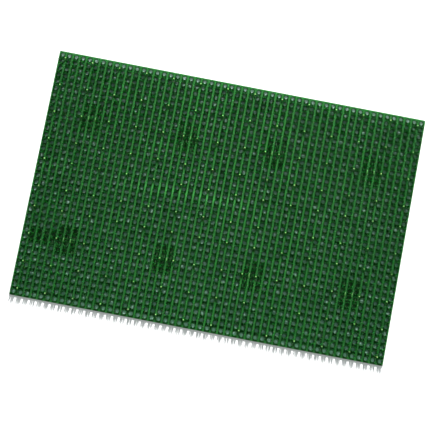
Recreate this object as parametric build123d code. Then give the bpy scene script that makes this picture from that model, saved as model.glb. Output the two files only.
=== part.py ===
"""Scraper door mat of moulded polyethylene: a drained sheet with rows of grass-like tufts.

Millimetres, +Z up, the long side along X. The origin is on the floor, under the mat's centre.
The mat is one moulding. It is modelled by its moulded features: the rim, the sheet, the rows of
tufts with their strip of top skin, the pins between the tufts, and the pads and pegs underneath.
Places on the mat are counted in pitches from its left and back edges, as the tufts are.
"""
from build123d import *
import os

# Overall sizes
mat_length = 600.0          # along X
mat_width = 400.0           # along Y
tuft_columns = 54
tuft_rows = 36
edge_margin = 0.6           # from the mat's edge to the first tuft's square
corner_radius = 2.5

# Heights, from the floor up
peg_height = 1.9            # floor to the sheet's underside
sheet_thickness = 0.9
skin_thickness = 0.6        # the top skin that the tufts grow from
tuft_height = 13.0          # above the skin

# Rim
rim_width = 1.6

# Tufts: hollow crowns that flare a little towards their tips
root_diameter = 7.2
tip_diameter = 8.4
drain_diameter = 5.5        # the hole through the sheet and up the tuft
mouth_diameter = 7.2        # the hole at the tips

# Pins and nubs on the skin
pin_diameter = 2.3
pin_tip_diameter = 1.7
pin_height = 7.5
nub_length = 8.0
nub_width = 2.4
nub_height = 1.6

# Pegs and pads under the sheet
peg_diameter = 3.0
pad_thickness = 0.6
pad_clearance = 2.2         # from a pad's edge to the squares of the tufts around it

# Patterns, in pitches from the left edge (columns) and the back edge (rows)
pin_column_step = 4
pin_rows_from_edge = (1, 5, 9, 13, 16)
gate_columns_from_edge = (6.5, 20.5)
gate_rows_from_edge = (9,)
gate_squares = (3, 4)                       # tufts closed by one gate pad, across and along
extra_pin_columns_from_edge = (20, 22)      # beside the inner gates
nub_columns_from_edge = (6, 7, 21)
plate_squares = ((1, 5), (26, 28))          # columns and rows closed by the blank plate

# Worked-out places
pitch_x = (mat_length - 2 * edge_margin) / tuft_columns
pitch_y = (mat_width - 2 * edge_margin) / tuft_rows
skin_bottom = peg_height + sheet_thickness
skin_top = skin_bottom + skin_thickness
inner_length = mat_length - 2 * rim_width
inner_width = mat_width - 2 * rim_width


def place_x(column):
    """X of a place counted in pitches from the left edge."""
    return (column - tuft_columns / 2) * pitch_x


def place_y(row):
    """Y of a place counted in pitches from the back edge."""
    return (tuft_rows / 2 - row) * pitch_y


def both_ends(places, count):
    """The places, and the same places counted from the opposite edge."""
    return list(places) + [count - place for place in reversed(places)]


def column_centres():
    return [place_x(column + 0.5) for column in range(tuft_columns)]


def rectangle(low_x, high_x, low_y, high_y, z):
    """A level rectangular wire."""
    corners = [(low_x, low_y, z), (high_x, low_y, z), (high_x, high_y, z), (low_x, high_y, z)]
    return Wire.make_polygon(corners, close=True)


def plate_with_holes(outline, centres, z, thickness):
    """A flat plate over an outline, with a drain hole at each centre."""
    holes = [Wire.make_circle(drain_diameter / 2, Plane((x, y, z))) for x, y in centres]
    return Solid.extrude(Face(outline, holes), Vector(0, 0, thickness))


def slab(low_x, high_x, low_y, high_y, z, thickness):
    return plate_with_holes(rectangle(low_x, high_x, low_y, high_y, z), [], z, thickness)


# Closed squares

def gate_centres():
    """Columns and rows of the gates' centres."""
    columns = both_ends(gate_columns_from_edge, tuft_columns)
    rows = both_ends(gate_rows_from_edge, tuft_rows)
    return [(column, row) for row in rows for column in columns]


def gate_blocks():
    """Low and high column, low and high row, of the squares that each gate pad closes."""
    across, along = gate_squares
    blocks = []
    for column, row in gate_centres():
        low_column = column - across / 2
        low_row = row - along / 2
        blocks.append(((low_column, low_column + across), (low_row, low_row + along)))
    return blocks


def is_closed(column, row):
    """Whether the place lies over a gate pad or the blank plate, edges included."""
    for columns, rows in gate_blocks() + [plate_squares]:
        if columns[0] <= column <= columns[1] and rows[0] <= row <= rows[1]:
            return True
    return False


def pad_under(block):
    """A thin pad on the sheet's underside, over a block of closed squares."""
    columns, rows = block
    return slab(place_x(columns[0]) + pad_clearance, place_x(columns[1]) - pad_clearance,
                place_y(rows[1]) + pad_clearance, place_y(rows[0]) - pad_clearance,
                peg_height - pad_thickness, pad_thickness)


# Pieces

def make_rims():
    """Four bars round the sheet. The front and back ones carry the rounded corners."""
    outline = Plane.XY * RectangleRounded(mat_length, mat_width, corner_radius)
    frame = outline - Plane.XY * Rectangle(inner_length, inner_width)
    ring = extrude(frame, skin_top)
    rims = {}
    half_length, half_width = mat_length / 2, mat_width / 2
    cuts = {
        "rim_front": (-half_length, half_length, -half_width, -inner_width / 2),
        "rim_back": (-half_length, half_length, inner_width / 2, half_width),
        "rim_left": (-half_length, -inner_length / 2, -inner_width / 2, inner_width / 2),
        "rim_right": (inner_length / 2, half_length, -inner_width / 2, inner_width / 2),
    }
    for name, (low_x, high_x, low_y, high_y) in cuts.items():
        block = slab(low_x, high_x, low_y, high_y, 0, skin_top)
        rims[name] = (ring & block).solid()
    return rims


def make_base_sheet():
    """The lower layer, with a drain hole under every tuft that isn't closed."""
    open_squares = []
    for row in range(tuft_rows):
        for column in range(tuft_columns):
            if not is_closed(column + 0.5, row + 0.5):
                open_squares.append((place_x(column + 0.5), place_y(row + 0.5)))
    outline = rectangle(-inner_length / 2, inner_length / 2, -inner_width / 2, inner_width / 2,
                        peg_height)
    return plate_with_holes(outline, open_squares, peg_height, sheet_thickness)


def make_tuft():
    """One hollow crown, centred on Z, standing on the skin."""
    section = Polyline(
        (drain_diameter / 2, 0, skin_top),
        (root_diameter / 2, 0, skin_top),
        (tip_diameter / 2, 0, skin_top + tuft_height),
        (mouth_diameter / 2, 0, skin_top + tuft_height),
        close=True,
    )
    return revolve(Face(section.wire()), Axis.Z)


def make_tuft_row(low_y, high_y, middle_y, tuft):
    """One row: its strip of skin from low_y to high_y, and the tufts along middle_y."""
    outline = rectangle(-inner_length / 2, inner_length / 2, low_y, high_y, skin_bottom)
    strip = plate_with_holes(outline, [(x, middle_y) for x in column_centres()],
                             skin_bottom, skin_thickness)
    tufts = [tuft.moved(Location((x, middle_y, 0))) for x in column_centres()]
    return strip.fuse(*tufts).solid()


def make_tuft_rows():
    """Every row from back to front. The first and last stop at the rim."""
    tuft = make_tuft().solid()
    back_y, front_y = place_y(0.5), place_y(tuft_rows - 0.5)
    edge_y = inner_width / 2
    inner_row_y = place_y(1.5)
    inner_row = make_tuft_row(place_y(2), place_y(1), inner_row_y, tuft)
    rows = {"tuft_row_01": make_tuft_row(place_y(1), edge_y, back_y, tuft)}
    for row in range(1, tuft_rows - 1):
        shift = place_y(row + 0.5) - inner_row_y
        rows[f"tuft_row_{row + 1:02d}"] = inner_row.moved(Location((0, shift, 0)))
    rows[f"tuft_row_{tuft_rows:02d}"] = make_tuft_row(-edge_y, place_y(tuft_rows - 1), front_y, tuft)
    return rows


def pin_places():
    """Columns and rows of the pins, at the corners between four tufts."""
    columns = range(1, tuft_columns, pin_column_step)
    rows = both_ends(pin_rows_from_edge, tuft_rows)
    return [(column, row) for row in rows for column in columns]


def nub_places():
    columns = both_ends(nub_columns_from_edge, tuft_columns)
    rows = both_ends(gate_rows_from_edge, tuft_rows)
    return [(column, row) for row in rows for column in columns]


def make_scraper_pins():
    """Slim tapered pins on the skin, with a few more beside the inner gates."""
    extra_columns = both_ends(extra_pin_columns_from_edge, tuft_columns)
    gate_rows = both_ends(gate_rows_from_edge, tuft_rows)
    extras = [(column, row) for row in gate_rows for column in extra_columns]
    nubs = nub_places()
    pin = Cone(pin_diameter / 2, pin_tip_diameter / 2, pin_height,
               align=(Align.CENTER, Align.CENTER, Align.MIN)).solid()
    places = [place for place in pin_places() + extras if place not in nubs]
    return [pin.moved(Location((place_x(column), place_y(row), skin_top)))
            for column, row in places]


def make_gate_nubs():
    """Low oblong nubs on the skin over the gates."""
    outline = Plane.XY * SlotOverall(nub_length, nub_width, rotation=90)
    nub = extrude(outline, nub_height).solid()
    return [nub.moved(Location((place_x(column), place_y(row), skin_top)))
            for column, row in nub_places()]


def make_floor_pegs():
    """Short round pegs under the pins, left out where a pad or the plate is."""
    peg = Cylinder(peg_diameter / 2, peg_height,
                   align=(Align.CENTER, Align.CENTER, Align.MIN)).solid()
    return [peg.moved(Location((place_x(column), place_y(row), 0)))
            for column, row in pin_places() if not is_closed(column, row)]


def make_mat():
    """Every node's name, and its solid or list of solids."""
    nodes = make_rims()
    nodes["base_sheet"] = make_base_sheet()
    nodes.update(make_tuft_rows())
    nodes["scraper_pins"] = make_scraper_pins()
    nodes["gate_nubs"] = make_gate_nubs()
    nodes["gate_pads"] = [pad_under(block) for block in gate_blocks()]
    nodes["blank_plate"] = pad_under(plate_squares)
    nodes["floor_pegs"] = make_floor_pegs()
    return nodes


os.makedirs("parts", exist_ok=True)
for node_name, shape in make_mat().items():
    if isinstance(shape, list):
        shape = Compound(shape)
    export_step(shape, f"parts/{node_name}.step")
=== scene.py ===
"""Scraper door mat in green polyethylene: tufts of grass-like blades on a drained sheet.

Metres, in the frame of the CAD model. The long side lies along X, the back edge is at +Y.
"""
import math

import bmesh
import bpy
from mathutils import Matrix, Vector


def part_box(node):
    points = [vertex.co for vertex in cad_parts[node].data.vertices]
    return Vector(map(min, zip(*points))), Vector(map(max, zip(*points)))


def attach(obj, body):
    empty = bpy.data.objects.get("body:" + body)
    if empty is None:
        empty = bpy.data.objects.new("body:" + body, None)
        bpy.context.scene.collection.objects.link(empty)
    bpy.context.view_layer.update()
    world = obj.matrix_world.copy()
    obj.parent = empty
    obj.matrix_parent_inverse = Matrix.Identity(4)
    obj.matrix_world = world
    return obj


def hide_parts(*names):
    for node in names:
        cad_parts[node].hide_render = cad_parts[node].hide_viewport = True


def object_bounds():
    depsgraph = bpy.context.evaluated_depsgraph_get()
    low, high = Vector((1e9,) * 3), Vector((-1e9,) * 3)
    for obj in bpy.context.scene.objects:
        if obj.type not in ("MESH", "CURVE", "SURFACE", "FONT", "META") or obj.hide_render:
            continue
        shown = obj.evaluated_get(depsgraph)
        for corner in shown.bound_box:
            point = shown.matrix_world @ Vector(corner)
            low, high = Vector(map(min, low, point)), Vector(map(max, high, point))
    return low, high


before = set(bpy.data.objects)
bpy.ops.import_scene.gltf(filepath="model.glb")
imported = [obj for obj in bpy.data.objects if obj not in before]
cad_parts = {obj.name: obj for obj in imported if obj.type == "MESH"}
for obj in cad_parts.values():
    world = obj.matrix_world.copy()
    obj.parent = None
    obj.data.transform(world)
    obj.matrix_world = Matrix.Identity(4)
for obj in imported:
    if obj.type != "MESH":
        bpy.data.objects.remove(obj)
cad_low, cad_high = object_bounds()
MM = 0.001

# ---------------------------------------------------------------- sizes of the mat
COLUMNS = 54
ROWS = 36
EDGE_MARGIN = 0.6 * MM           # from the mat's edge to the first tuft's square
ROOT_RADIUS = 3.6 * MM
DRAIN_RADIUS = 2.75 * MM
COLLAR_HEIGHT = 0.5 * MM         # the unsplit foot of a tuft
TUFT_HEIGHT = 13.0 * MM
TIP_RADIUS = 4.65 * MM           # to the middle of a blade's tip
FRONT_TIP_RADIUS = 3.9 * MM      # in the front row, whose tufts stand closed
BLADES = 9                       # the back row has one less
BLADE_WIDTH = 1.75 * MM
BACK_BLADE_WIDTH = 1.0 * MM
FRONT_BLADE_WIDTH = 2.0 * MM
BLADE_THICKNESS = 0.70 * MM
BLADE_FOOT = 0.4 * MM            # how deep a blade stands in its collar
BLADE_DRIFT = 0.55               # millimetres round the collar, either way
UNRULINESS = 1.0 * MM            # how far tips stray
FRONT_UNRULINESS = 0.4 * MM
FRONT_CLEARANCE = 1.6 * MM       # from the mat's edge to the nearest tips
BACK_CLEARANCE = 3.2 * MM
AROUND = 16                      # sides of a drain hole
WELD = 1e-6                      # points nearer than this are one

sheet_low, sheet_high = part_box("base_sheet")
skin_bottom = sheet_high.z
skin_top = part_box("rim_front")[1].z
pitch_x = (cad_high.x - cad_low.x - 2 * EDGE_MARGIN) / COLUMNS
pitch_y = (cad_high.y - cad_low.y - 2 * EDGE_MARGIN) / ROWS


# ---------------------------------------------------------------- node trees
class Value:
    """A node's output. Arithmetic on it adds Math nodes to its tree."""

    def __init__(self, graph, socket):
        self.graph = graph
        self.socket = socket

    def __add__(self, other):
        return self.graph.math("ADD", self, other)

    def __radd__(self, other):
        return self.graph.math("ADD", other, self)

    def __sub__(self, other):
        return self.graph.math("SUBTRACT", self, other)

    def __rsub__(self, other):
        return self.graph.math("SUBTRACT", other, self)

    def __mul__(self, other):
        return self.graph.math("MULTIPLY", self, other)

    def __rmul__(self, other):
        return self.graph.math("MULTIPLY", other, self)

    def __truediv__(self, other):
        return self.graph.math("DIVIDE", self, other)

    def __rtruediv__(self, other):
        return self.graph.math("DIVIDE", other, self)

    def __pow__(self, other):
        return self.graph.math("POWER", self, other)

    def __neg__(self):
        return self.graph.math("MULTIPLY", self, -1.0)


class Graph:
    """Adds nodes to a shader or geometry tree."""

    def __init__(self, tree):
        self.tree = tree

    def add(self, kind, settings=None, sockets=None, output=0):
        """A node with its settings and socket values or links; returns one of its outputs."""
        node = self.tree.nodes.new(kind)
        for name, value in (settings or {}).items():
            setattr(node, name, value)
        for key, value in (sockets or {}).items():
            self.feed(self.pick(node.inputs, key), value)
        return Value(self, self.pick(node.outputs, output))

    def pick(self, sockets, key):
        """A socket by its place or, among those in use, by its name."""
        if isinstance(key, int):
            return sockets[key]
        return next(socket for socket in sockets if socket.name == key and socket.enabled)

    def feed(self, socket, value):
        for one in value if isinstance(value, list) else [value]:
            if isinstance(one, Value):
                self.tree.links.new(one.socket, socket)
            else:
                socket.default_value = one

    def math(self, operation, first, second=0.0, third=0.0):
        sockets = {0: first, 1: second, 2: third}
        return self.add("ShaderNodeMath", {"operation": operation}, sockets)

    def absolute(self, value):
        return self.math("ABSOLUTE", value)

    def larger(self, first, second):
        return self.math("MAXIMUM", first, second)

    def clamp(self, value, low=0.0, high=1.0):
        return self.math("MINIMUM", self.larger(value, low), high)

    def same(self, value, target):
        """1 where two whole numbers agree, else 0."""
        return self.math("COMPARE", value, target, 0.5)

    def bell(self, value, middle, reach, power=2.0):
        """1 at the middle, fading out beyond its reach; a higher power gives a flatter top."""
        return self.math("EXPONENT", (((value - middle) / reach) ** power) * -1.0)

    def vector(self, x, y, z):
        return self.add("ShaderNodeCombineXYZ", None, {0: x, 1: y, 2: z})

    def parts(self, vector):
        node = self.add("ShaderNodeSeparateXYZ", None, {0: vector}).socket.node
        return [Value(self, socket) for socket in node.outputs]


class Recipe(Graph):
    """A geometry tree with named inputs, run once on an object to give a plain mesh."""

    def __init__(self, name):
        tree = bpy.data.node_groups.new(name, "GeometryNodeTree")
        super().__init__(tree)
        tree.interface.new_socket("Geometry", in_out="INPUT", socket_type="NodeSocketGeometry")
        tree.interface.new_socket("Geometry", in_out="OUTPUT", socket_type="NodeSocketGeometry")
        self.entry = tree.nodes.new("NodeGroupInput")
        self.exit = tree.nodes.new("NodeGroupOutput")
        self.identifiers = {}

    def input(self, name, default, kind="NodeSocketFloat"):
        item = self.tree.interface.new_socket(name, in_out="INPUT", socket_type=kind)
        if default is not None:
            item.default_value = default
        self.identifiers[name] = item.identifier
        return Value(self, self.pick(self.entry.outputs, name))

    def source(self):
        return Value(self, self.entry.outputs[0])

    def finish(self, geometry):
        self.tree.links.new(geometry.socket, self.exit.inputs[0])

    def position(self):
        return self.add("GeometryNodeInputPosition")

    def move(self, geometry, position=None, offset=None, selection=None):
        sockets = {"Geometry": geometry}
        if position is not None:
            sockets["Position"] = position
        if offset is not None:
            sockets["Offset"] = offset
        if selection is not None:
            sockets["Selection"] = selection
        return self.add("GeometryNodeSetPosition", None, sockets)

    def random(self, low, high, seed):
        sockets = {2: low, 3: high, 8: seed}
        return self.add("FunctionNodeRandomValue", {"data_type": "FLOAT"}, sockets, 1)

    def store(self, geometry, name, value, kind="FLOAT"):
        sockets = {"Geometry": geometry, "Name": name, "Value": value}
        settings = {"data_type": kind, "domain": "POINT"}
        return self.add("GeometryNodeStoreNamedAttribute", settings, sockets)

    def named(self, name, kind="FLOAT"):
        return self.add("GeometryNodeInputNamedAttribute", {"data_type": kind}, {"Name": name})

    def instance(self, points, shape, **sockets):
        every = {"Points": points, "Instance": shape}
        every.update(sockets)
        instances = self.add("GeometryNodeInstanceOnPoints", None, every)
        return self.add("GeometryNodeRealizeInstances", None, {0: instances})

    def paint(self, geometry, material):
        return self.add("GeometryNodeSetMaterial", None, {"Geometry": geometry, "Material": material})

    def weld(self, geometry):
        return self.add("GeometryNodeMergeByDistance", None, {"Geometry": geometry, "Distance": WELD})

    def join(self, *geometries):
        return self.add("GeometryNodeJoinGeometry", None, {0: list(geometries)})

    def make(self, name, points=(), **values):
        """Runs the tree on loose points and returns its result as a plain object."""
        mesh = bpy.data.meshes.new(name)
        mesh.from_pydata([tuple(point) for point in points], [], [])
        piece = bpy.data.objects.new(name, mesh)
        bpy.context.scene.collection.objects.link(piece)
        modifier = piece.modifiers.new("recipe", "NODES")
        modifier.node_group = self.tree
        for key, value in values.items():
            modifier[self.identifiers[key]] = value
        evaluated = piece.evaluated_get(bpy.context.evaluated_depsgraph_get())
        result = bpy.data.meshes.new_from_object(evaluated)
        piece.modifiers.remove(modifier)
        piece.data = result
        result.name = name
        bpy.data.meshes.remove(mesh)
        return piece


# ---------------------------------------------------------------- materials
class Finish(Graph):
    """A material built on one Principled shader."""

    def __init__(self, name, **constants):
        self.material = bpy.data.materials.new(name)
        self.material.use_nodes = True
        super().__init__(self.material.node_tree)
        self.tree.nodes.clear()
        self.shader = self.tree.nodes.new("ShaderNodeBsdfPrincipled")
        output = self.tree.nodes.new("ShaderNodeOutputMaterial")
        self.tree.links.new(self.shader.outputs[0], output.inputs[0])
        for socket, value in constants.items():
            self.shader.inputs[socket.replace("_", " ")].default_value = value

    def let_light_in(self, weight, scale):
        """Light spreads below the surface, as in thin polyethylene."""
        self.shader.inputs["Subsurface Weight"].default_value = weight
        self.shader.inputs["Subsurface Scale"].default_value = scale
        self.shader.inputs["Subsurface Radius"].default_value = GLOW

    def place(self):
        return self.add("ShaderNodeTexCoord", None, None, "Object")

    def height(self):
        return self.parts(self.place())[2]

    def noise(self, scale, detail=2.0):
        sockets = {"Vector": self.place(), "Scale": scale, "Detail": detail}
        return self.add("ShaderNodeTexNoise", None, sockets, 0)

    def between(self, value, low, high):
        """0 below low, 1 above high, straight in between."""
        sockets = {0: value, 1: low, 2: high, 3: 0.0, 4: 1.0}
        return self.add("ShaderNodeMapRange", None, sockets)

    def blend(self, factor, first, second, kind="MIX"):
        settings = {"data_type": "RGBA", "blend_type": kind}
        sockets = {0: factor, 6: first, 7: second}
        return self.add("ShaderNodeMix", settings, sockets, 2)

    def attribute(self, name):
        return self.add("ShaderNodeAttribute", {"attribute_name": name}, None, "Fac")

    def bump(self, height, distance, strength=1.0):
        sockets = {"Height": height, "Distance": distance, "Strength": strength}
        return self.add("ShaderNodeBump", None, sockets)

    def surface(self, **values):
        for socket, value in values.items():
            self.feed(self.shader.inputs[socket.replace("_", " ")], value)
        return self.material


DEEP_GREEN = (0.006, 0.060, 0.012, 1.0)
LEAF_GREEN = (0.011, 0.115, 0.016, 1.0)
BRIGHT_GREEN = (0.014, 0.150, 0.020, 1.0)
CREST_HIGHLIGHT_GREEN = (0.035, 0.250, 0.045, 1.0)
DARKER_BLADE_GREEN = (0.013, 0.145, 0.020, 1.0)
PALER_BLADE_GREEN = (0.018, 0.195, 0.026, 1.0)
WORN_GREEN = (0.11, 0.24, 0.09, 1.0)
LIME_HIGHLIGHT = (0.50, 1.0, 0.30, 1.0)
GLOW = (0.12, 1.0, 0.30)          # how far red, green and blue light go in the plastic
GRAIN_SCALE = 2600.0
SHADED_TEAL_FLOOR_UNDER_MAT = (0.43, 0.62, 0.56, 1.0)
LIGHT_THROUGH_SHEET = (0.020, 0.070, 0.041, 1.0)
LIGHT_THROUGH_HOLES = (0.40, 0.60, 0.50, 1.0)
LIGHT_THROUGH_TUFTS = (0.15, 0.15, 0.15, 1.0)


def sheet_finish():
    """Smooth moulded skin: satin strips between the tufts, duller round their feet, with painted light
    on the strips and painted shade round the feet.

    The strips are painted darker towards the mat's ends and front as painted shade, and carry a
    painted highlight over a slight bump where the mat arches.
    """
    finish = Finish("sheet_polyethylene", IOR=1.51, Specular_IOR_Level=0.12)
    finish.let_light_in(0.15, 1.0 * MM)
    cloud = finish.noise(22.0, 3.0)
    grain = finish.noise(GRAIN_SCALE, 2.0)
    x, y, z = finish.parts(finish.place())
    flow = finish.add("ShaderNodeTexNoise", None, {
        "Vector": finish.vector(x * 18.0, y * 90.0, z * 90.0), "Scale": 3.0, "Detail": 2.0})
    turns = (x - cad_low.x - EDGE_MARGIN) / pitch_x
    off_strip = finish.absolute(turns - finish.math("ROUND", turns)) * pitch_x
    # painted light and shade: the strips between the tuft columns and the band by the rim are painted
    # bright green, and the skin round the tufts' feet is painted deep green where their shadows fall;
    # the same mask makes the strips smoother
    beside_tufts = finish.between(finish.absolute(y), cad_high.y - 3.0 * MM, cad_high.y - 2.0 * MM)
    lit_satin_strip = finish.larger(finish.between(off_strip, 1.7 * MM, 1.1 * MM), beside_tufts)
    # painted shade: the strips are painted darker towards the mat's ends and its front, standing for
    # the lamp's falloff; the cloud gives random tone
    aside = finish.absolute((x - 20.0 * MM) / (300.0 * MM))
    tone = (0.55 + 0.45 * finish.between(cloud, 0.35, 0.65)) * (0.95 - 0.42 * aside * aside)
    tone = tone * (0.9 + 0.1 * finish.between(y, -120.0 * MM, 60.0 * MM))
    colour = finish.blend(lit_satin_strip * tone, DEEP_GREEN, BRIGHT_GREEN)
    arch = finish.bell(x, -50.0 * MM, 100.0 * MM, 4.0)
    left_end = finish.between(x, -235.0 * MM, -275.0 * MM)
    # painted highlight: a brighter green on the strips, on the slope of the arch that faces the lamp
    # and at the left end
    crest_highlight = finish.bell(y, 10.0 * MM, 9.0 * MM) * finish.larger(arch, left_end * 0.7)
    colour = finish.blend(crest_highlight * lit_satin_strip * 0.72, colour, CREST_HIGHLIGHT_GREEN)
    roughness = 0.52 + 0.12 * flow + 0.06 * grain + 0.15 * (1.0 - lit_satin_strip)
    rise = finish.bell(y, 0.0, 14.0 * MM) * arch
    height = grain * (0.003 * MM) + flow * (0.08 * MM) + rise * (1.1 * MM)
    return finish.surface(Base_Color=colour, Roughness=roughness, Normal=finish.bump(height, 1.0))


def border_finish():
    """The border: plain satin plastic, a little uneven."""
    finish = Finish("border_polyethylene", IOR=1.51, Specular_IOR_Level=0.2)
    cloud = finish.noise(60.0, 3.0)
    grain = finish.noise(GRAIN_SCALE, 2.0)
    colour = finish.blend(0.35 + 0.5 * cloud, LEAF_GREEN, BRIGHT_GREEN)
    height = grain * (0.003 * MM) + cloud * (0.06 * MM)
    return finish.surface(Base_Color=colour, Roughness=0.42 + 0.14 * cloud,
                          Normal=finish.bump(height, 1.0))


def blade_finish():
    """Thin blades: each a little different, paler and rougher towards its worn tip."""
    finish = Finish("blade_polyethylene", IOR=1.51, Specular_IOR_Level=0.3)
    finish.let_light_in(0.85, 1.4 * MM)
    tone = finish.attribute("tone")
    cloud = finish.noise(260.0, 2.0)
    grain = finish.noise(3200.0, 2.0)
    colour = finish.blend(finish.clamp(tone * 0.7 + cloud * 0.3), DARKER_BLADE_GREEN, PALER_BLADE_GREEN)
    tip = finish.between(finish.height(), skin_top + TUFT_HEIGHT * 0.80, skin_top + TUFT_HEIGHT * 1.02)
    colour = finish.blend(tip * 0.35, colour, WORN_GREEN)
    roughness = 0.24 + 0.10 * cloud + 0.16 * tip
    height = grain * (0.004 * MM) + cloud * (0.08 * MM)
    return finish.surface(Base_Color=colour, Roughness=roughness, Normal=finish.bump(height, 1.0))


def pin_finish():
    """Pins and nubs: the same plastic, with a painted highlight: yellow-green high on each pin, where
    a thin pin would glow and glint under the lamp.
    """
    finish = Finish("pin_polyethylene", IOR=1.51)
    finish.let_light_in(0.3, 1.0 * MM)
    cloud = finish.noise(300.0, 2.0)
    # painted highlight: the pins are painted yellow-green from 4 mm above the skin upwards
    pin_highlight_mask = finish.between(finish.height(), skin_top + 4.0 * MM, skin_top + 7.0 * MM)
    colour = finish.blend(finish.clamp(pin_highlight_mask * 0.8 + cloud * 0.2), BRIGHT_GREEN, LIME_HIGHLIGHT)
    height = finish.noise(2800.0) * (0.02 * MM)
    return finish.surface(Base_Color=colour, Roughness=0.28 + 0.14 * cloud,
                          Normal=finish.bump(height, 1.0))


def underside_finish():
    """The lower layer: fine-eroded, so duller, with floor dust on what touches the floor."""
    finish = Finish("underside_polyethylene", IOR=1.51)
    cloud = finish.noise(35.0, 4.0)
    erosion = finish.noise(1500.0, 3.0)
    colour = finish.blend(finish.between(cloud, 0.3, 0.7), DEEP_GREEN, LEAF_GREEN)
    rub = finish.between(finish.height(), 0.6 * MM, 0.0) * finish.between(cloud, 0.4, 0.6)
    colour = finish.blend(rub * 0.5, colour, WORN_GREEN)
    return finish.surface(Base_Color=colour, Roughness=0.50 + 0.2 * erosion,
                          Normal=finish.bump(erosion * (0.08 * MM), 1.0))


def floor_finish():
    """Pale paint, with painted light: an emitted glow stands for the light that comes through the thin
    plastic and the drain holes, and painted shade darkens the floor under the mat.
    """
    finish = Finish("floor_paint", IOR=1.45, Emission_Strength=1.0)
    x, y, z = finish.parts(finish.place())
    inside_x = finish.between(finish.absolute(x), cad_high.x - 1.0 * MM, cad_high.x - 4.0 * MM)
    inside_y = finish.between(finish.absolute(y), cad_high.y - 1.0 * MM, cad_high.y - 4.0 * MM)
    under = inside_x * inside_y
    shade = finish.noise(3.0, 3.0)
    colour = finish.blend(shade, (0.90, 0.90, 0.90, 1.0), (0.93, 0.93, 0.93, 1.0))
    # painted shade: the floor under the mat is painted darker and teal, standing for the mat's shade
    # and the green light through it
    colour = finish.blend(under, colour, SHADED_TEAL_FLOOR_UNDER_MAT)
    # painted light: an emitted green glow under the mat, stronger towards the front and under the
    # front row, stands for light through the thin sheet
    frontwards = finish.between(y, cad_high.y, cad_low.y) ** 1.5
    front_row = finish.between(y, cad_low.y + 13.0 * MM, cad_low.y + 10.0 * MM)
    back_row = finish.between(y, cad_high.y - 11.0 * MM, cad_high.y - 9.0 * MM)
    glow = finish.blend(under * finish.clamp(frontwards * 0.6 + front_row * 0.4),
                        (0.0, 0.0, 0.0, 1.0), LIGHT_THROUGH_SHEET)
    # painted glints: random bright spots, and a band under the back and front rows, glow pale under
    # the holes, standing for light falling through them
    glint_specks = finish.between(finish.noise(330.0, 1.0), 0.62, 0.69)
    bright = finish.clamp(glint_specks * 0.8 + back_row * 0.25 + front_row * 0.08)
    glow = finish.blend(under * bright, glow, LIGHT_THROUGH_HOLES, "ADD")
    # painted light: a grey glow on the floor just in front of the mat lightens the tufts' shadow there
    in_front = finish.between(y, cad_low.y + 0.5 * MM, cad_low.y - 0.5 * MM)
    in_shadow = in_front * finish.between(y, cad_low.y - 20.0 * MM, cad_low.y - 12.0 * MM)
    glow = finish.blend(in_shadow, glow, LIGHT_THROUGH_TUFTS, "ADD")
    return finish.surface(Base_Color=colour, Roughness=0.75 + 0.1 * shade, Emission_Color=glow)


sheet_material = sheet_finish()
border_material = border_finish()
blade_material = blade_finish()
pin_material = pin_finish()
underside_material = underside_finish()


# ---------------------------------------------------------------- a row of tufts
def ring_grid(recipe, around, loops, towards):
    """A grid to bend into rings: its cosine, sine and loop number. Towards is the turn, 1 or -1."""
    settings = {"Size X": 1.0, "Size Y": 1.0, "Vertices X": around + 1, "Vertices Y": loops}
    grid = recipe.add("GeometryNodeMeshGrid", None, settings)
    u, v = recipe.parts(recipe.position())[:2]
    angle = (u * towards + 0.5) * (2 * math.pi)
    return grid, recipe.math("COSINE", angle), recipe.math("SINE", angle), (v + 0.5) * (loops - 1.0)


def by_loop(recipe, loop, choices):
    """Each point's choice, by the number of its loop."""
    chosen = 0.0
    for place, choice in enumerate(choices):
        chosen = recipe.same(loop, float(place)) * choice + chosen
    return chosen


def longest_side(recipe, cosine, sine):
    """Divides a ring's radius so that the ring becomes a square."""
    return recipe.larger(recipe.absolute(cosine), recipe.absolute(sine))


def tile_shape(recipe, half_x, half_y, low_z, high_z, collar_z, root_radius, drain_radius):
    """One tuft's square of skin with its collar and drain hole: rings of points joined in a loop."""
    drain, root, square = (drain_radius, 0.0), (root_radius, 0.0), (0.0, 1.0)
    profile = [(*drain, low_z), (*drain, collar_z), (*root, collar_z), (*root, high_z),
               (*square, high_z), (*square, low_z), (*drain, low_z)]
    grid, cosine, sine, loop = ring_grid(recipe, AROUND, len(profile), -1.0)
    longest = longest_side(recipe, cosine, sine)
    radius, squareness, height = (by_loop(recipe, loop, column) for column in zip(*profile))
    x = cosine * (radius + squareness * half_x / longest)
    y = sine * (radius + squareness * half_y / longest)
    return recipe.weld(recipe.move(grid, recipe.vector(x, y, height)))


def blade_shape(recipe, length, width, thickness):
    """One upright blade from its root at the origin, X outwards, cupped round the tuft."""
    size = recipe.vector(1.0, 1.0, 1.0)
    sockets = {"Size": size, "Vertices X": 2, "Vertices Y": 3, "Vertices Z": 4}
    cube = recipe.add("GeometryNodeMeshCube", None, sockets)
    x, y, z = recipe.parts(recipe.position())
    t = z + 0.5
    half = width * (0.68 + 1.3 * t * (0.8 - t))
    deep = thickness * (1.0 - t * 0.45)
    across = y * half
    cupped = (0.25 - y * y) * 0.16 * width
    blade = recipe.store(cube, "across", across)
    return recipe.move(blade, recipe.vector(x * deep + cupped, across, t * length))


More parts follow.
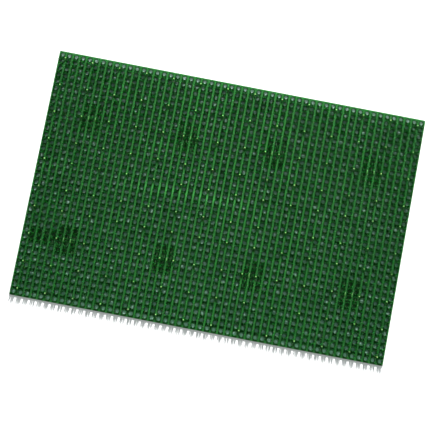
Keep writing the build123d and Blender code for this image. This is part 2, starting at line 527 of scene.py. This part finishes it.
def tuft_row_recipe():
    recipe = Recipe("tuft_row")
    columns = recipe.input("Columns", COLUMNS, "NodeSocketInt")
    pitch = recipe.input("Pitch", pitch_x)
    first_x = recipe.input("First X", 0.0)
    row_y = recipe.input("Row Y", 0.0)
    half_y = recipe.input("Half Y", 0.0)
    low_x, high_x = recipe.input("Low X", 0.0), recipe.input("High X", 0.0)
    low_y, high_y = recipe.input("Low Y", 0.0), recipe.input("High Y", 0.0)
    low_z, high_z = recipe.input("Skin Bottom", 0.0), recipe.input("Skin Top", 0.0)
    collar = recipe.input("Collar Height", COLLAR_HEIGHT)
    root_radius = recipe.input("Root Radius", ROOT_RADIUS)
    drain_radius = recipe.input("Drain Radius", DRAIN_RADIUS)
    tip_radius = recipe.input("Tip Radius", TIP_RADIUS)
    height = recipe.input("Tuft Height", TUFT_HEIGHT)
    blades = recipe.input("Blades", BLADES, "NodeSocketInt")
    unruly = recipe.input("Unruliness", UNRULINESS)
    blade_width = recipe.input("Blade Width", BLADE_WIDTH)
    front_limit, back_limit = recipe.input("Front Limit", 0.0), recipe.input("Back Limit", 0.0)
    seed = recipe.input("Seed", 0, "NodeSocketInt")
    skin = recipe.input("Skin Material", None, "NodeSocketMaterial")
    leaf = recipe.input("Blade Material", None, "NodeSocketMaterial")

    line = recipe.add("GeometryNodeMeshLine", None, {
        "Count": columns,
        "Start Location": recipe.vector(first_x, row_y, 0.0),
        "Offset": recipe.vector(pitch, 0.0, 0.0)})

    tile = tile_shape(recipe, pitch * 0.5, half_y, low_z, high_z, high_z + collar,
                      root_radius, drain_radius)
    skins = recipe.instance(line, tile)
    x, y, z = recipe.parts(recipe.position())
    skins = recipe.move(skins, recipe.vector(recipe.clamp(x, low_x, high_x),
                                             recipe.clamp(y, low_y, high_y), z))
    normal_x = recipe.parts(recipe.add("GeometryNodeInputNormal"))[0]
    end_gap = recipe.math("MINIMUM", x - low_x, high_x - x)
    sideways = recipe.math("GREATER_THAN", recipe.absolute(normal_x), 0.9)
    level = (low_z + high_z) * 0.5
    in_skin = recipe.math("COMPARE", z, level, 0.1 * MM)
    inner_wall = sideways * recipe.math("GREATER_THAN", end_gap, 0.1 * MM) * in_skin
    skins = recipe.add("GeometryNodeDeleteGeometry", {"domain": "FACE", "mode": "ALL"},
                       {"Geometry": skins, "Selection": inner_wall})
    skins = recipe.paint(recipe.weld(skins), skin)

    ring_radius = (root_radius + drain_radius) * 0.5
    circle = recipe.add("GeometryNodeMeshCircle", None, {"Vertices": blades, "Radius": ring_radius})
    half_step = math.pi / blades
    circle = recipe.add("GeometryNodeTransform", None, {
        "Geometry": circle, "Rotation": recipe.vector(0.0, 0.0, half_step)})
    roots = recipe.instance(line, circle)
    x, y, z = recipe.parts(recipe.position())
    column = recipe.math("ROUND", (x - first_x) / pitch)
    out_x = (x - first_x - column * pitch) / ring_radius
    out_y = (y - row_y) / ring_radius
    flare = tip_radius - ring_radius + unruly * recipe.random(-0.5, 0.7, seed)
    stray = recipe.random(-1.0, 1.0, seed + 1)
    swerve = unruly * stray * recipe.absolute(stray) * 1.6
    tip_x = recipe.clamp(x + out_x * flare - out_y * swerve, low_x, high_x)
    tip_y = recipe.clamp(y + out_y * flare + out_x * swerve, front_limit, back_limit)
    lean = recipe.vector(tip_x - x, tip_y - y, 0.0)
    roots = recipe.store(roots, "lean", lean, "FLOAT_VECTOR")
    roots = recipe.store(roots, "tone", recipe.random(0.0, 1.0, seed + 2))
    roots = recipe.store(roots, "slant", recipe.random(-0.7, 0.7, seed + 3))
    root_z = high_z + collar - BLADE_FOOT
    length = height - collar + BLADE_FOOT
    drift = recipe.random(-BLADE_DRIFT, BLADE_DRIFT, seed + 6) * MM
    roots = recipe.move(roots, offset=recipe.vector(-out_y * drift, out_x * drift, root_z))
    turn = recipe.math("ARCTAN2", out_y, out_x) + recipe.random(-0.10, 0.10, seed + 4)
    stretch = recipe.random(0.90, 1.0, seed + 5)
    blade = blade_shape(recipe, length, blade_width, BLADE_THICKNESS)
    blades_made = recipe.instance(roots, blade, Rotation=recipe.vector(0.0, 0.0, turn),
                                  Scale=recipe.vector(1.0, 1.0, stretch))
    x, y, z = recipe.parts(recipe.position())
    t = recipe.clamp((z - root_z) / length)
    bend = t * t
    lean_x, lean_y = recipe.parts(recipe.named("lean", "FLOAT_VECTOR"))[:2]
    tip_cut = recipe.named("slant") * recipe.named("across") * (t ** 6.0)
    blades_made = recipe.move(blades_made, offset=recipe.vector(lean_x * bend, lean_y * bend, tip_cut))
    blades_made = recipe.paint(blades_made, leaf)
    recipe.finish(recipe.join(skins, blades_made))
    return recipe


def make_tuft_rows():
    recipe = tuft_row_recipe()
    inner_boxes = [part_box(f"tuft_row_{row:02d}") for row in (2, ROWS - 1)]
    second_y, last_but_one_y = [(low.y + high.y) / 2 for low, high in inner_boxes]
    row_pitch = (second_y - last_but_one_y) / (ROWS - 3)
    first_x = cad_low.x + EDGE_MARGIN + pitch_x / 2
    for row in range(1, ROWS + 1):
        node = f"tuft_row_{row:02d}"
        low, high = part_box(node)
        blade_width, tip_radius, unruly = BLADE_WIDTH, TIP_RADIUS, UNRULINESS
        if row == 1:
            blade_width = BACK_BLADE_WIDTH
        if row == ROWS:
            blade_width, tip_radius = FRONT_BLADE_WIDTH, FRONT_TIP_RADIUS
            unruly = FRONT_UNRULINESS
        values = {
            "Pitch": pitch_x, "First X": first_x, "Row Y": second_y - (row - 2) * row_pitch,
            "Half Y": row_pitch / 2, "Low X": low.x, "High X": high.x, "Low Y": low.y,
            "High Y": high.y, "Skin Bottom": skin_bottom, "Skin Top": skin_top,
            "Tuft Height": high.z - skin_top, "Seed": 40 * row,
            "Blade Width": blade_width, "Blades": BLADES - (row == 1), "Tip Radius": tip_radius,
            "Unruliness": unruly,
            "Front Limit": cad_low.y + FRONT_CLEARANCE, "Back Limit": cad_high.y - BACK_CLEARANCE,
            "Skin Material": sheet_material, "Blade Material": blade_material}
        piece = recipe.make(f"grass_row_{row:02d}", **values)
        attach(piece, "root")
        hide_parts(node)


# ---------------------------------------------------------------- pins and nubs
def island_centres(node):
    """The middle of each separate solid in a CAD node, at its lowest height."""
    shape = bmesh.new()
    shape.from_mesh(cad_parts[node].data)
    bmesh.ops.remove_doubles(shape, verts=shape.verts, dist=WELD)
    centres, seen = [], set()
    for start in shape.verts:
        if start in seen:
            continue
        island, queue = [], [start]
        seen.add(start)
        while queue:
            vertex = queue.pop()
            island.append(vertex.co)
            for edge in vertex.link_edges:
                other = edge.other_vert(vertex)
                if other not in seen:
                    seen.add(other)
                    queue.append(other)
        low = Vector(min(co[axis] for co in island) for axis in range(3))
        high = Vector(max(co[axis] for co in island) for axis in range(3))
        centres.append(((low.x + high.x) / 2, (low.y + high.y) / 2, low.z))
    shape.free()
    return sorted(centres)


def turned_recipe(name, profile, around, stretch=(1.0, 1.0)):
    """A recipe that puts a turned shape on every point. The profile is (radius, height) pairs."""
    recipe = Recipe(name)
    seed = recipe.input("Seed", 0, "NodeSocketInt")
    material = recipe.input("Material", None, "NodeSocketMaterial")
    spread = recipe.input("Height Spread", 0.06)
    grid, cosine, sine, loop = ring_grid(recipe, around, len(profile), 1.0)
    radius, height = (by_loop(recipe, loop, column) for column in zip(*profile))
    shape = recipe.weld(recipe.move(grid, recipe.vector(
        cosine * radius * stretch[0], sine * radius * stretch[1], height)))
    tall = recipe.random(1.0 - spread, 1.0, seed)
    shapes = recipe.instance(recipe.source(), shape, Scale=recipe.vector(1.0, 1.0, tall))
    shapes = recipe.add("GeometryNodeSetShadeSmooth", None, {"Geometry": shapes})
    recipe.finish(recipe.paint(shapes, material))
    return recipe


def make_pins():
    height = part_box("scraper_pins")[1].z - skin_top
    foot, shaft, tip = 1.9 * MM, 1.2 * MM, 0.95 * MM
    profile = [(0.0, 0.0), (foot, 0.0), (shaft * 1.12, 0.6 * MM), (shaft, 1.6 * MM),
               (tip, height - 0.8 * MM), (tip * 0.72, height - 0.25 * MM), (0.0, height)]
    recipe = turned_recipe("pins", profile, 10)
    piece = recipe.make("moulded_pins", island_centres("scraper_pins"), Seed=11,
                        Material=pin_material)
    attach(piece, "root")
    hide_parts("scraper_pins")


def make_nubs():
    low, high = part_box("gate_nubs")
    height = high.z - low.z
    half_width, long_by = 1.2 * MM, 3.3
    profile = [(0.0, 0.0), (half_width, 0.0), (half_width * 0.96, height * 0.5),
               (half_width * 0.7, height * 0.86), (half_width * 0.35, height * 0.98), (0.0, height)]
    recipe = turned_recipe("nubs", profile, 14, (1.0, long_by))
    piece = recipe.make("moulded_nubs", island_centres("gate_nubs"), Seed=12, Material=pin_material)
    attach(piece, "root")
    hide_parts("gate_nubs")


# ---------------------------------------------------------------- rim
def rim_loop(inset, radius, z):
    """A level rounded rectangle, inset from the mat's outline."""
    half_x, half_y = cad_high.x - inset, cad_high.y - inset
    steps = 5
    loop = []
    for quarter in range(4):
        side_x = 1 if quarter in (0, 3) else -1
        side_y = 1 if quarter in (0, 1) else -1
        for step in range(steps + 1):
            angle = math.pi / 2 * (quarter + step / steps)
            loop.append(Vector((side_x * (half_x - radius) + radius * math.cos(angle),
                                side_y * (half_y - radius) + radius * math.sin(angle), z)))
    return loop


def make_rim():
    """One border with softened edges, in place of the four bars."""
    corner, width, soft = 2.5 * MM, 1.62 * MM, 0.45 * MM
    section = [(width, 0.0), (soft * 0.5, 0.0), (0.0, soft * 0.5), (0.0, skin_top - soft),
               (soft * 0.13, skin_top - soft * 0.5), (soft * 0.5, skin_top - soft * 0.13),
               (soft, skin_top), (width, skin_top)]
    mesh = bmesh.new()
    loops = [[mesh.verts.new(point) for point in rim_loop(inset, max(corner - inset, 0.3 * MM), z)]
             for inset, z in section]
    for here, there in zip(loops, loops[1:] + loops[:1]):
        for index in range(len(here)):
            after = (index + 1) % len(here)
            mesh.faces.new((here[index], here[after], there[after], there[index]))
    bmesh.ops.recalc_face_normals(mesh, faces=mesh.faces)
    data = bpy.data.meshes.new("border")
    mesh.to_mesh(data)
    mesh.free()
    data.materials.append(border_material)
    piece = bpy.data.objects.new("border", data)
    bpy.context.scene.collection.objects.link(piece)
    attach(piece, "root")
    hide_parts("rim_front", "rim_back", "rim_left", "rim_right")


# ---------------------------------------------------------------- sheet and underside
def flat_tile(recipe, half_x, half_y, inner_radius):
    """One square of the sheet, level, with a round hole. A radius of 0 leaves no hole."""
    grid, cosine, sine, outer = ring_grid(recipe, AROUND, 2, -1.0)
    longest = longest_side(recipe, cosine, sine)
    x = cosine * ((1.0 - outer) * inner_radius + outer * half_x / longest)
    y = sine * ((1.0 - outer) * inner_radius + outer * half_y / longest)
    return recipe.weld(recipe.move(grid, recipe.vector(x, y, 0.0)))


def sheet_recipe():
    """Squares with and without holes, merged into one level face and thickened upwards.

    It stands on a point for each square: at height 1 for a square with a hole, at 0 for one without.
    """
    recipe = Recipe("drained_sheet")
    half_x, half_y = recipe.input("Half X", 0.0), recipe.input("Half Y", 0.0)
    side_x, side_y = recipe.input("Sheet Half X", 0.0), recipe.input("Sheet Half Y", 0.0)
    bottom, thickness = recipe.input("Bottom", 0.0), recipe.input("Thickness", 0.0)
    drain_radius = recipe.input("Drain Radius", DRAIN_RADIUS)
    material = recipe.input("Material", None, "NodeSocketMaterial")
    x, y, z = recipe.parts(recipe.position())
    is_open = recipe.math("GREATER_THAN", z, 0.5)
    open_tile = flat_tile(recipe, half_x, half_y, drain_radius)
    closed_tile = flat_tile(recipe, half_x, half_y, 0.0)
    squares = recipe.join(recipe.instance(recipe.source(), open_tile, Selection=is_open),
                          recipe.instance(recipe.source(), closed_tile, Selection=1.0 - is_open))
    squares = recipe.move(squares, recipe.vector(recipe.clamp(x, -side_x, side_x),
                                                 recipe.clamp(y, -side_y, side_y), bottom))
    merged = recipe.weld(squares)
    raised = recipe.add("GeometryNodeExtrudeMesh", {"mode": "FACES"}, {
        "Mesh": merged, "Offset": recipe.vector(0.0, 0.0, 1.0), "Offset Scale": thickness,
        "Individual": False})
    turned = recipe.add("GeometryNodeFlipFaces", None, {"Mesh": merged})
    recipe.finish(recipe.paint(recipe.weld(recipe.join(raised, turned)), material))
    return recipe


def make_sheet():
    """The lower layer, with a hole under every tuft but those over a pad or the blank plate."""
    closed_blocks = [(x, y, 1.5 * pitch_x, 2.0 * pitch_y) for x, y, z in island_centres("gate_pads")]
    low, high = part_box("blank_plate")
    closed_blocks.append(((low.x + high.x) / 2, (low.y + high.y) / 2, 2.0 * pitch_x, pitch_y))
    points = []
    for row in range(ROWS):
        for column in range(COLUMNS):
            x = (column + 0.5 - COLUMNS / 2) * pitch_x
            y = (ROWS / 2 - row - 0.5) * pitch_y
            closed = any(abs(x - block_x) < wide and abs(y - block_y) < deep
                         for block_x, block_y, wide, deep in closed_blocks)
            points.append((x, y, 0.0 if closed else 1.0))
    piece = sheet_recipe().make("drained_sheet", points, **{
        "Half X": pitch_x / 2, "Half Y": pitch_y / 2, "Sheet Half X": sheet_high.x,
        "Sheet Half Y": sheet_high.y, "Bottom": sheet_low.z, "Thickness": sheet_high.z - sheet_low.z,
        "Material": underside_material})
    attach(piece, "root")
    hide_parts("base_sheet")


def paint_cad(node, material):
    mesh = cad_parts[node].data
    mesh.materials.clear()
    mesh.materials.append(material)


# ---------------------------------------------------------------- camera, light and floor
def aim(thing, place, target, up=Vector((0, 1, 0))):
    """Stands a camera or light at a place, its -Z towards the target."""
    back = (place - target).normalized()
    right = up.cross(back).normalized()
    matrix = Matrix((right, back.cross(right), back)).transposed().to_4x4()
    matrix.translation = place
    thing.matrix_world = matrix


def make_camera():
    """Almost straight above, a little to the front, with the mat turned in its view."""
    distance = 2.2
    tilt, swing, roll = (math.radians(degrees) for degrees in (6.95, 0.75, 10.9))
    data = bpy.data.cameras.new("camera")
    camera = bpy.data.objects.new("camera", data)
    bpy.context.scene.collection.objects.link(camera)
    place = distance * Vector((math.sin(tilt) * math.sin(swing), -math.sin(tilt) * math.cos(swing),
                               math.cos(tilt)))
    aim(camera, place, Vector((0, 0, 0)))
    camera.matrix_world = camera.matrix_world @ Matrix.Rotation(roll, 4, "Z")
    data.sensor_width = 36.0
    data.lens = 115.36
    data.shift_x = -4.48 / 430
    data.shift_y = -8.27 / 430
    data.clip_start, data.clip_end = 0.05, 50.0
    bpy.context.scene.camera = camera


def make_light(name, place, target, size_x, size_y, power, colour=(1.0, 1.0, 1.0)):
    data = bpy.data.lights.new(name, "AREA")
    data.shape = "RECTANGLE"
    data.size, data.size_y = size_x, size_y
    data.energy = power
    data.color = colour
    light = bpy.data.objects.new(name, data)
    bpy.context.scene.collection.objects.link(light)
    aim(light, place, target, Vector((0, 0, 1)))


def make_stage():
    elevation, reach = math.radians(46), 3.0
    key_place = Vector((0.0, reach * math.cos(elevation), reach * math.sin(elevation)))
    make_light("key_softbox", key_place, Vector((0, 0, 0)), 0.18, 0.90, 185.0)
    world = bpy.data.worlds.new("studio")
    world.use_nodes = True
    background = world.node_tree.nodes["Background"]
    background.inputs["Color"].default_value = (0.90, 0.98, 1.0, 1.0)
    background.inputs["Strength"].default_value = 0.30
    bpy.context.scene.world = world
    bpy.context.scene.view_settings.view_transform = "Standard"
    mesh = bmesh.new()
    bmesh.ops.create_grid(mesh, x_segments=2, y_segments=2, size=4.0)
    data = bpy.data.meshes.new("floor")
    mesh.to_mesh(data)
    mesh.free()
    data.materials.append(floor_finish())
    floor = bpy.data.objects.new("floor", data)
    bpy.context.scene.collection.objects.link(floor)
    floor.location.z = -0.1 * MM     # so that it never lies in the same plane as the mat's feet


make_camera()
make_stage()
make_tuft_rows()
make_pins()
make_nubs()
make_rim()
make_sheet()
paint_cad("gate_pads", underside_material)
paint_cad("blank_plate", underside_material)
paint_cad("floor_pegs", underside_material)
